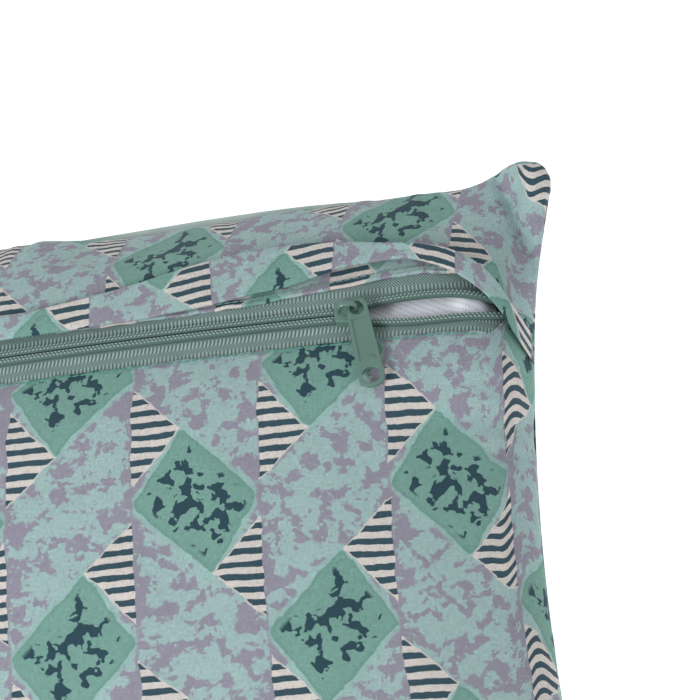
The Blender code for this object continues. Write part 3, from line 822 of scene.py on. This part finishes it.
def repeat_group():
    group = bpy.data.node_groups.new("stitch_repeat", "GeometryNodeTree")
    face = group.interface
    face.new_socket("Geometry", in_out="INPUT", socket_type="NodeSocketGeometry")
    face.new_socket("Size", in_out="INPUT", socket_type="NodeSocketVector")
    face.new_socket("Material", in_out="INPUT", socket_type="NodeSocketMaterial")
    face.new_socket("Geometry", in_out="OUTPUT", socket_type="NodeSocketGeometry")
    nodes, links = group.nodes, group.links
    start, end = nodes.new("NodeGroupInput"), nodes.new("NodeGroupOutput")
    ball = nodes.new("GeometryNodeMeshUVSphere")
    ball.inputs["Segments"].default_value = 8
    ball.inputs["Rings"].default_value = 6
    ball.inputs["Radius"].default_value = 1.0
    shape = nodes.new("GeometryNodeTransform")
    links.new(ball.outputs["Mesh"], shape.inputs["Geometry"])
    links.new(start.outputs["Size"], shape.inputs["Scale"])
    turn = nodes.new("GeometryNodeInputNamedAttribute")
    turn.data_type = "FLOAT_VECTOR"
    turn.inputs["Name"].default_value = "turn"
    rotation = nodes.new("FunctionNodeEulerToRotation")
    links.new(turn.outputs["Attribute"], rotation.inputs[0])
    points = nodes.new("GeometryNodeMeshToPoints")
    links.new(start.outputs["Geometry"], points.inputs["Mesh"])
    place = nodes.new("GeometryNodeInstanceOnPoints")
    links.new(points.outputs["Points"], place.inputs["Points"])
    links.new(shape.outputs["Geometry"], place.inputs["Instance"])
    links.new(rotation.outputs[0], place.inputs["Rotation"])
    real = nodes.new("GeometryNodeRealizeInstances")
    links.new(place.outputs["Instances"], real.inputs["Geometry"])
    smooth = nodes.new("GeometryNodeSetShadeSmooth")
    links.new(real.outputs["Geometry"], smooth.inputs[0])
    finish = nodes.new("GeometryNodeSetMaterial")
    links.new(smooth.outputs[0], finish.inputs["Geometry"])
    links.new(start.outputs["Material"], finish.inputs["Material"])
    links.new(finish.outputs["Geometry"], end.inputs["Geometry"])
    return group


REPEAT_GROUP = repeat_group()


def stitches(name, points, turns, size, material, node, body="cover"):
    mesh = bpy.data.meshes.new(name)
    mesh.from_pydata(points.tolist(), [], [])
    layer = mesh.attributes.new("turn", "FLOAT_VECTOR", "POINT")
    layer.data.foreach_set("vector", turns.astype(np.float32).ravel())
    holder = bpy.data.objects.new(name + "_points", mesh)
    bpy.context.scene.collection.objects.link(holder)
    change = holder.modifiers.new("repeat", "NODES")
    change.node_group = REPEAT_GROUP
    sockets = REPEAT_GROUP.interface.items_tree
    names = {item.name: item.identifier for item in sockets if item.in_out == "INPUT"}
    change[names["Size"]] = size
    change[names["Material"]] = material
    depsgraph = bpy.context.evaluated_depsgraph_get()
    baked = bpy.data.meshes.new_from_object(holder.evaluated_get(depsgraph), depsgraph=depsgraph)
    bpy.data.objects.remove(holder)
    made = bpy.data.objects.new(name, baked)
    bpy.context.scene.collection.objects.link(made)
    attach(made, body)
    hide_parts(node)
    print(name, len(points), "stitches,", len(baked.polygons), "faces")
    return made


def turned(x, twist):
    """Euler angles that lay a stitch along the zip, twisted in the cloth's plane."""
    _, along, across, up = zip_frame(x)
    angles = []
    for row in range(len(x)):
        frame_turn = Matrix((along[row], across[row], up[row])).transposed()
        angle = twist[row] if np.ndim(twist) else twist
        angles.append(tuple((frame_turn @ Matrix.Rotation(angle, 3, "Z")).to_euler()))
    return np.array(angles)


# %% Coil and topstitch
COIL_OFF, COIL_HALF, COIL_RISE = 0.0017, 0.00145, 0.0013
STITCHED_HALF, SLIDER_COVER, STITCH_TWIST = 0.228, 0.006, 0.55
TOPSTITCHED_HALF, TOPSTITCH_PITCH, TOPSTITCH_IN = 0.221, 0.0030, 0.0019
COIL_STITCH_SIZE, TOPSTITCH_SIZE = (0.00062, 0.00031, 0.00027), (0.00155, 0.00033, 0.00026)

for side, word in ((-1.0, "lower"), (1.0, "upper")):
    x = ZIP_LINE
    centre = COIL_OFF + mouth_half(x)
    angles = np.linspace(0.0, 2.0 * np.pi, 15)[:-1]
    rings = []
    for angle in angles:
        off = centre + COIL_HALF * np.sign(np.cos(angle)) * abs(math.cos(angle)) ** 0.8
        rise = COIL_RISE * np.sign(np.sin(angle)) * abs(math.sin(angle)) ** 0.7 - 0.0004
        rings.append(zip_place(x, side * off, x * 0.0 + rise))
    rings = np.stack(rings if side < 0 else rings[::-1], axis=1)
    shape = rings.shape[:2]
    cut = np.stack([np.broadcast_to(x[:, None], shape), np.broadcast_to(angles, shape)], axis=-1)
    cord = tube_grid("coil_" + word, rings, cut, COIL)
    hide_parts("zip_coil_" + word)
    count = int(2.0 * STITCHED_HALF / RIB_PITCH)
    marks = (np.arange(count) - count / 2) * RIB_PITCH
    points, turns = [], []
    for out, shift in ((0.0012, 0.0), (0.0023, 0.5)):
        at = marks + shift * RIB_PITCH
        clear = (at < SLIDER_X - SLIDER_COVER) | (at > SLIDER_X + SLIDER_COVER)
        at = at[(np.abs(at) < STITCHED_HALF) & clear]
        points.append(zip_place(at, side * (out + mouth_half(at)), at * 0.0 + 0.00078))
        turns.append(turned(at, side * STITCH_TWIST))
    stitches("coil_stitches_" + word, np.concatenate(points), np.concatenate(turns), COIL_STITCH_SIZE,
             COIL_STITCH, "zip_coil_" + word)
    count = int(2.0 * TOPSTITCHED_HALF / TOPSTITCH_PITCH)
    at = (np.arange(count) - count / 2) * TOPSTITCH_PITCH
    edge = window(at, side) + TOPSTITCH_IN
    stitches("topstitch_" + word, zip_place(at, side * edge, at * 0.0 + 0.00060), turned(at, at * 0.0 + 0.13),
             TOPSTITCH_SIZE, THREAD if side < 0 else THREAD_PLAIN, "topstitch_" + word)

# %% [markdown]
# ## The flap
# A double band of the printed cloth lies beside the zip, to cover it. It is folded back from the zip, and
# its ends, caught in the side seams, twist down over the zip. Its two long edges are given by a table of
# places and smoothed. Between them the band is a flat tube that follows the panel under it, so it lies on it.

# %% Flap
FLAP_LINE = FLAP_END_X * spaced(300, 1.3)
FLAP_SIDES, FLAP_PRINT_RING = 36, 240

# place along the zip, then how far the band's near and far edges lie from the chain, in millimetres
FLAP_EDGES = np.array([(-234, -23, -14), (-230, -13, -2), (-226, -4, 7), (-221, 4, 15), (-212, 10, 19),
                       (-200, 14, 24), (-180, 16, 29), (-150, 13, 31), (-80, 8, 26), (0, 7.5, 21),
                       (40, 7.2, 17), (62, 7.2, 19), (77, 7.4, 21), (96, 8, 25), (115, 9.5, 29.5),
                       (134, 12.5, 33), (153, 15, 34), (168, 20, 33), (184, 22, 30.5),
                       (196, 21.5, 28.2), (208, 16.5, 25.6), (215, 11.4, 22), (223, 4, 16), (229, -4, 8),
                       (233, -14, -1), (236, -24, -12)]) / 1000.0


def flap_edge(x, which):
    """One edge of the band at x, smoothed between the table's places."""
    total = 0.0
    for shift in (-0.005, -0.0025, 0.0, 0.0025, 0.005):
        total = total + np.interp(x + shift, FLAP_EDGES[:, 0], FLAP_EDGES[:, which])
    return total / 5.0


def flap_middle(x):
    return (flap_edge(x, 1) + flap_edge(x, 2)) / 2


def flap_half(x):
    return (flap_edge(x, 2) - flap_edge(x, 1)) / 2


def ground(x, y):
    s, t = share(x, y)
    return SEAM_HEIGHT + top_height(x, y, s, t)


# %% Flap band
turn = np.linspace(0.0, 2.0 * np.pi, FLAP_SIDES + 1)[:-1]
x = np.broadcast_to(FLAP_LINE[:, None], (len(FLAP_LINE), FLAP_SIDES)).copy()
part = np.sign(np.cos(turn)) * np.abs(np.cos(turn)) ** 0.75
rise = np.sign(np.sin(turn)) * np.abs(np.sin(turn)) ** 0.6
y = ZIP_Y + flap_middle(x) + flap_half(x) * part[None, :]
lift = CLOTH + 0.0017 * ease((np.abs(x) - FLAP_TURN_X) / 0.02)
puff = 0.0014 + 0.0008 * ease((part[None, :] - 0.2) / 0.8) + 0.0002 * ripple(x, y, 0.016, 51)
swell = ripple(x, y * 0.5, 0.022, 52) * 0.0004
z = ground(x, y) + lift + 0.0012 + puff * rise[None, :] + swell * 0.6
flap_rings = np.stack([x, y, z], axis=-1)
flap_along = lengths(flap_rings, 0)
flap_cut = np.stack([flap_along - flap_along[FLAP_PRINT_RING], flap_half(x) * part[None, :]], axis=-1)
flap = tube_grid("flap", flap_rings[:, ::-1], flap_cut[:, ::-1], FLAP_PRINT)
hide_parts("zip_flap")
print("flap", len(flap.data.polygons), "faces, middle", round(float(flap_along[-1].mean()) * 1000), "mm long")

# %% [markdown]
# ## Slider and puller
# The slider and its pull tab are die-cast: plates and a post that hold the two coils together, and a bail
# on top. Hard shapes like these are simplest as outlines raised to plates and joined or cut by booleans. A
# bevel then rounds every sharp edge, as a casting and its paint do.

# %% Castings


def solid_from(name, outline, low, high):
    count = len(outline)
    points = [(px, py, low) for px, py in outline] + [(px, py, high) for px, py in outline]
    faces = [tuple(range(count - 1, -1, -1)), tuple(range(count, 2 * count))]
    faces += [(k, (k + 1) % count, count + (k + 1) % count, count + k) for k in range(count)]
    mesh = bpy.data.meshes.new(name)
    mesh.from_pydata(points, [], faces)
    made = bpy.data.objects.new(name, mesh)
    bpy.context.scene.collection.objects.link(made)
    return made


def worked(target, pieces, operation):
    for piece in pieces:
        change = target.modifiers.new("work", "BOOLEAN")
        change.operation, change.object, change.solver = operation, piece, "EXACT"
    depsgraph = bpy.context.evaluated_depsgraph_get()
    result = bpy.data.meshes.new_from_object(target.evaluated_get(depsgraph), depsgraph=depsgraph)
    target.modifiers.clear()
    target.data = result
    for piece in pieces:
        bpy.data.objects.remove(piece)


def finished(target, place, bevel, segments, material, body, node):
    edge = target.modifiers.new("edge", "BEVEL")
    edge.width, edge.segments, edge.limit_method = bevel, segments, "ANGLE"
    edge.angle_limit = math.radians(28.0)
    depsgraph = bpy.context.evaluated_depsgraph_get()
    result = bpy.data.meshes.new_from_object(target.evaluated_get(depsgraph), depsgraph=depsgraph)
    target.modifiers.clear()
    target.data = result
    result.transform(place)
    result.shade_smooth()
    result.set_sharp_from_angle(angle=math.radians(50.0))
    result.materials.clear()
    result.materials.append(material)
    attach(target, body)
    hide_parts(node)
    print(target.name, len(result.polygons), "faces")


def arc(cx, cy, radius, start, end, count):
    steps = np.radians(np.linspace(start, end, count + 1))
    return [(cx + radius * math.cos(k), cy + radius * math.sin(k)) for k in steps]


# %% Slider
# the lowest and highest place of each part, from the middle of the chain
TOP_PLATE, LOW_PLATE = (0.0015, 0.0026), (-0.0034, -0.0023)
POST, FLANGE = (-0.0030, 0.0020), (-0.0010, 0.0020)
slider_x = np.array([SLIDER_X])
base, along, across, up = (Vector(part[0]) for part in zip_frame(slider_x))
slider_turn = Matrix((along, across, up)).transposed().to_4x4()
slider_place = Matrix.Translation(base) @ slider_turn
half_plan = [(-0.0055, 0.0030), (-0.0050, 0.0041), (-0.0040, 0.0045), (-0.0010, 0.0048), (0.0012, 0.0057),
             (0.0024, 0.0062), (0.0042, 0.0062), (0.0052, 0.0056), (0.0055, 0.0045)]
plan_line = [(px, -py) for px, py in half_plan] + half_plan[::-1]
post_line = [(0.0014, 0.0), (0.0024, -0.0008), (0.0049, -0.0008), (0.0049, 0.0008), (0.0024, 0.0008)]
body = solid_from("slider", plan_line, *TOP_PLATE)
lower_plate = solid_from("under", plan_line, *LOW_PLATE)
post = solid_from("post", post_line, *POST)
flanges = []
for side in (-1.0, 1.0):
    rim = [(px, side * py) for px, py in half_plan[1:-2]]
    wall = [(px, side * (py - 0.0010)) for px, py in half_plan[1:-2]]
    ring = rim + wall[::-1]
    flanges.append(solid_from("flange", ring if side < 0 else ring[::-1], *FLANGE))
worked(body, [lower_plate, post, *flanges], "UNION")
finished(body, slider_place, 0.00028, 3, METAL, "slider", "zip_slider")

# %% Slider bail
BAIL_STEPS, BAIL_HALF_THICK, BAIL_HALF_WIDE = 24, 0.00065, 0.00105
bail_line = []
for step in range(BAIL_STEPS + 1):
    angle = math.pi * step / BAIL_STEPS
    bail_line.append((-0.0005 - 0.0035 * math.copysign(abs(math.cos(angle)) ** 0.6, math.cos(angle)),
                      0.0021 + 0.0047 * math.sin(angle) ** 0.7))
bail_points = np.array(bail_line)
run = np.gradient(bail_points, axis=0)
run /= np.linalg.norm(run, axis=1, keepdims=True)
rings = []
for angle in np.linspace(0.0, 2.0 * np.pi, 13)[:-1]:
    out, over = BAIL_HALF_THICK * math.cos(angle), BAIL_HALF_WIDE * math.sin(angle)
    ring_x, ring_z = bail_points[:, 0] - run[:, 1] * out, bail_points[:, 1] + run[:, 0] * out
    rings.append(np.stack([ring_x, np.full(BAIL_STEPS + 1, over), ring_z], axis=1))
rings = np.stack(rings, axis=1)
flat_rings = np.array([slider_place @ Vector(point) for point in rings.reshape(-1, 3)]).reshape(rings.shape)
bail = tube_grid("slider_bail", flat_rings, rings[..., :2], METAL, "slider")
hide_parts("zip_slider")
print("slider_bail", len(bail.data.polygons), "faces")

# %% Puller
NECK, TIP, LONG, THICK = 0.0040, 0.0048, 0.0395, 0.0016
EYE_RADIUS, HOLE_RADIUS, RECESS_DEPTH = 0.0026, 0.0034, 0.0005
HINGE_AHEAD, HINGE_UP, DROOP, SWING = 0.0030, 0.0040, math.radians(3.0), math.radians(9.0)
top_y = 0.0037
low_y = top_y - LONG


def tab_outline(inset, top, bottom, count=14):
    """Outline of the tab, inset all round; top and bottom are where its ends stand."""
    neck, tip = NECK - inset, TIP - inset
    line = arc(0.0, bottom + tip, tip, 180.0, 360.0, count)
    line += arc(0.0, top - neck, neck, 4.0, 176.0, count)
    return line


tab = solid_from("puller", tab_outline(0.0, top_y, low_y), -THICK / 2, THICK / 2)
eye_line = arc(0.0, -0.0003, EYE_RADIUS, 0.0, 180.0, 10) + arc(0.0, -0.0010, EYE_RADIUS, 180.0, 360.0, 10)
eye = solid_from("eye", eye_line, -THICK, THICK)
hole = solid_from("hole", arc(0.0, low_y + TIP + 0.0002, HOLE_RADIUS, 0.0, 345.0, 23), -THICK, THICK)
recess_top, recess_low = -0.0052, low_y + 2.0 * TIP + 0.0006
recess_line = arc(0.0, recess_low - 0.0002, HOLE_RADIUS, 155.0, 25.0, 8)
recess_line += [(0.0030, recess_top), (-0.0029, recess_top)]
recess = solid_from("recess", recess_line, THICK / 2 - RECESS_DEPTH, THICK)
worked(tab, [eye, hole, recess], "DIFFERENCE")
hinge = base + along * HINGE_AHEAD + up * HINGE_UP
droop, swing = Matrix.Rotation(DROOP, 4, "X"), Matrix.Rotation(SWING, 4, "Z")
puller_place = Matrix.Translation(hinge) @ slider_turn @ droop @ swing
finished(tab, puller_place, 0.00030, 3, METAL, "puller", "zip_puller")

# %% [markdown]
# ## Inner cushion and seams
# The filling is in its own bag of non-woven liner. Only its top shows, through the open end of the zip,
# where it swells up a little, so that is the one piece made here. The rest of the bag, the fill and the
# seam turnings stay as the frame's own solids, out of sight.

# %% Inner cushion
BULGE_LOW, BULGE_HIGH, BULGE_WIDTH = 0.0011, 0.0045, 0.012
s_in, t_in = np.meshgrid(spaced(200, 1.4), spaced(140, 1.2), indexing="ij")
liner_top = top_point(s_in, t_in, LINER_INSET, LINER_DROP, LINER_ROUNDING)
crease = ripple(liner_top[..., 0], liner_top[..., 1], 0.020, 61) * 0.0005
liner_top[..., 2] += np.minimum(crease, 0.0004) * (1.0 - np.abs(s_in) ** 12) * (1.0 - np.abs(t_in) ** 12)
liner_x = liner_top[..., 0]
bulge = BULGE_LOW * ease((liner_x - 0.180) / 0.010) + BULGE_HIGH * ease((liner_x - 0.207) / 0.008)
bulge = bulge * (1.0 - ease((liner_x - 0.221) / 0.007))
liner_top[..., 2] += bulge * np.exp(-((liner_top[..., 1] - ZIP_Y) / BULGE_WIDTH) ** 2)
liner_cut = np.stack([lengths(liner_top, 0), lengths(liner_top, 1)], axis=-1)
liner = skin("liner_top_sheet", liner_top, liner_cut, LINING, 0.0006)
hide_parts("liner_top")
print("liner_top_sheet", len(liner.data.polygons), "faces")

# %% [markdown]
# ## Stage
# A white floor, an even white surrounding light and one soft lamp from the front and left give the cloth
# gentle shading without hard shadows. The camera looks down on the zip's open end through a long lens,
# which keeps the far edge from shrinking.

# %% Stage
FLOOR_GLOW, WORLD_LIGHT = 0.7, 0.61
KEY_PLACE, KEY_AIM, KEY_POWER, KEY_SIZE = (-0.50, -0.75, 1.15), (0.1, 0.05, 0.05), 14.5, 0.45
floor_material, _, floor_shader = new_material("floor", 0.9)
floor_shader.inputs["Base Color"].default_value = (0.98, 0.98, 0.98, 1.0)
floor_shader.inputs["Emission Color"].default_value = (1.0, 1.0, 1.0, 1.0)
floor_shader.inputs["Emission Strength"].default_value = FLOOR_GLOW
floor_mesh = bpy.data.meshes.new("floor")
floor_mesh.from_pydata([(-4, -4, 0), (4, -4, 0), (4, 4, 0), (-4, 4, 0)], [], [(0, 1, 2, 3)])
floor_mesh.materials.append(floor_material)
floor = bpy.data.objects.new("floor", floor_mesh)
floor.location.z = -0.0005
bpy.context.scene.collection.objects.link(floor)

world = bpy.context.scene.world or bpy.data.worlds.new("world")
bpy.context.scene.world = world
world.use_nodes = True
world.node_tree.nodes["Background"].inputs["Color"].default_value = (1.0, 1.0, 1.0, 1.0)
world.node_tree.nodes["Background"].inputs["Strength"].default_value = WORLD_LIGHT


def soft_light(name, place, aim, power, size):
    light = bpy.data.lights.new(name, "AREA")
    light.energy, light.size = power, size
    made = bpy.data.objects.new(name, light)
    made.location = place
    made.rotation_euler = (Vector(aim) - Vector(place)).to_track_quat("-Z", "Y").to_euler()
    bpy.context.scene.collection.objects.link(made)


soft_light("key", KEY_PLACE, KEY_AIM, KEY_POWER, KEY_SIZE)

# %% Camera
RIGHT = Vector((0.9702, -0.0661, -0.2333))
UP = Vector((0.1552, 0.9084, 0.3883))
BACK = Vector((0.1863, -0.4129, 0.8916))
CAMERA_AWAY, CAMERA_LENS, CAMERA_DOWN = 1.2500, 173.57, 0.01296
camera_data = bpy.data.cameras.new("camera")
camera_data.sensor_width = 36.0
camera_data.lens = CAMERA_LENS
camera_data.clip_start = 0.01
camera = bpy.data.objects.new("camera", camera_data)
place = Vector((SLIDER_X, ZIP_Y, 0.077)) + BACK * CAMERA_AWAY - UP * CAMERA_DOWN
camera.matrix_world = Matrix.Translation(place) @ Matrix((RIGHT, UP, BACK)).transposed().to_4x4()
bpy.context.scene.collection.objects.link(camera)
bpy.context.scene.camera = camera
bpy.context.scene.view_settings.view_transform = "Standard"
print("camera at", [round(value, 3) for value in place], "lens", CAMERA_LENS, "mm")
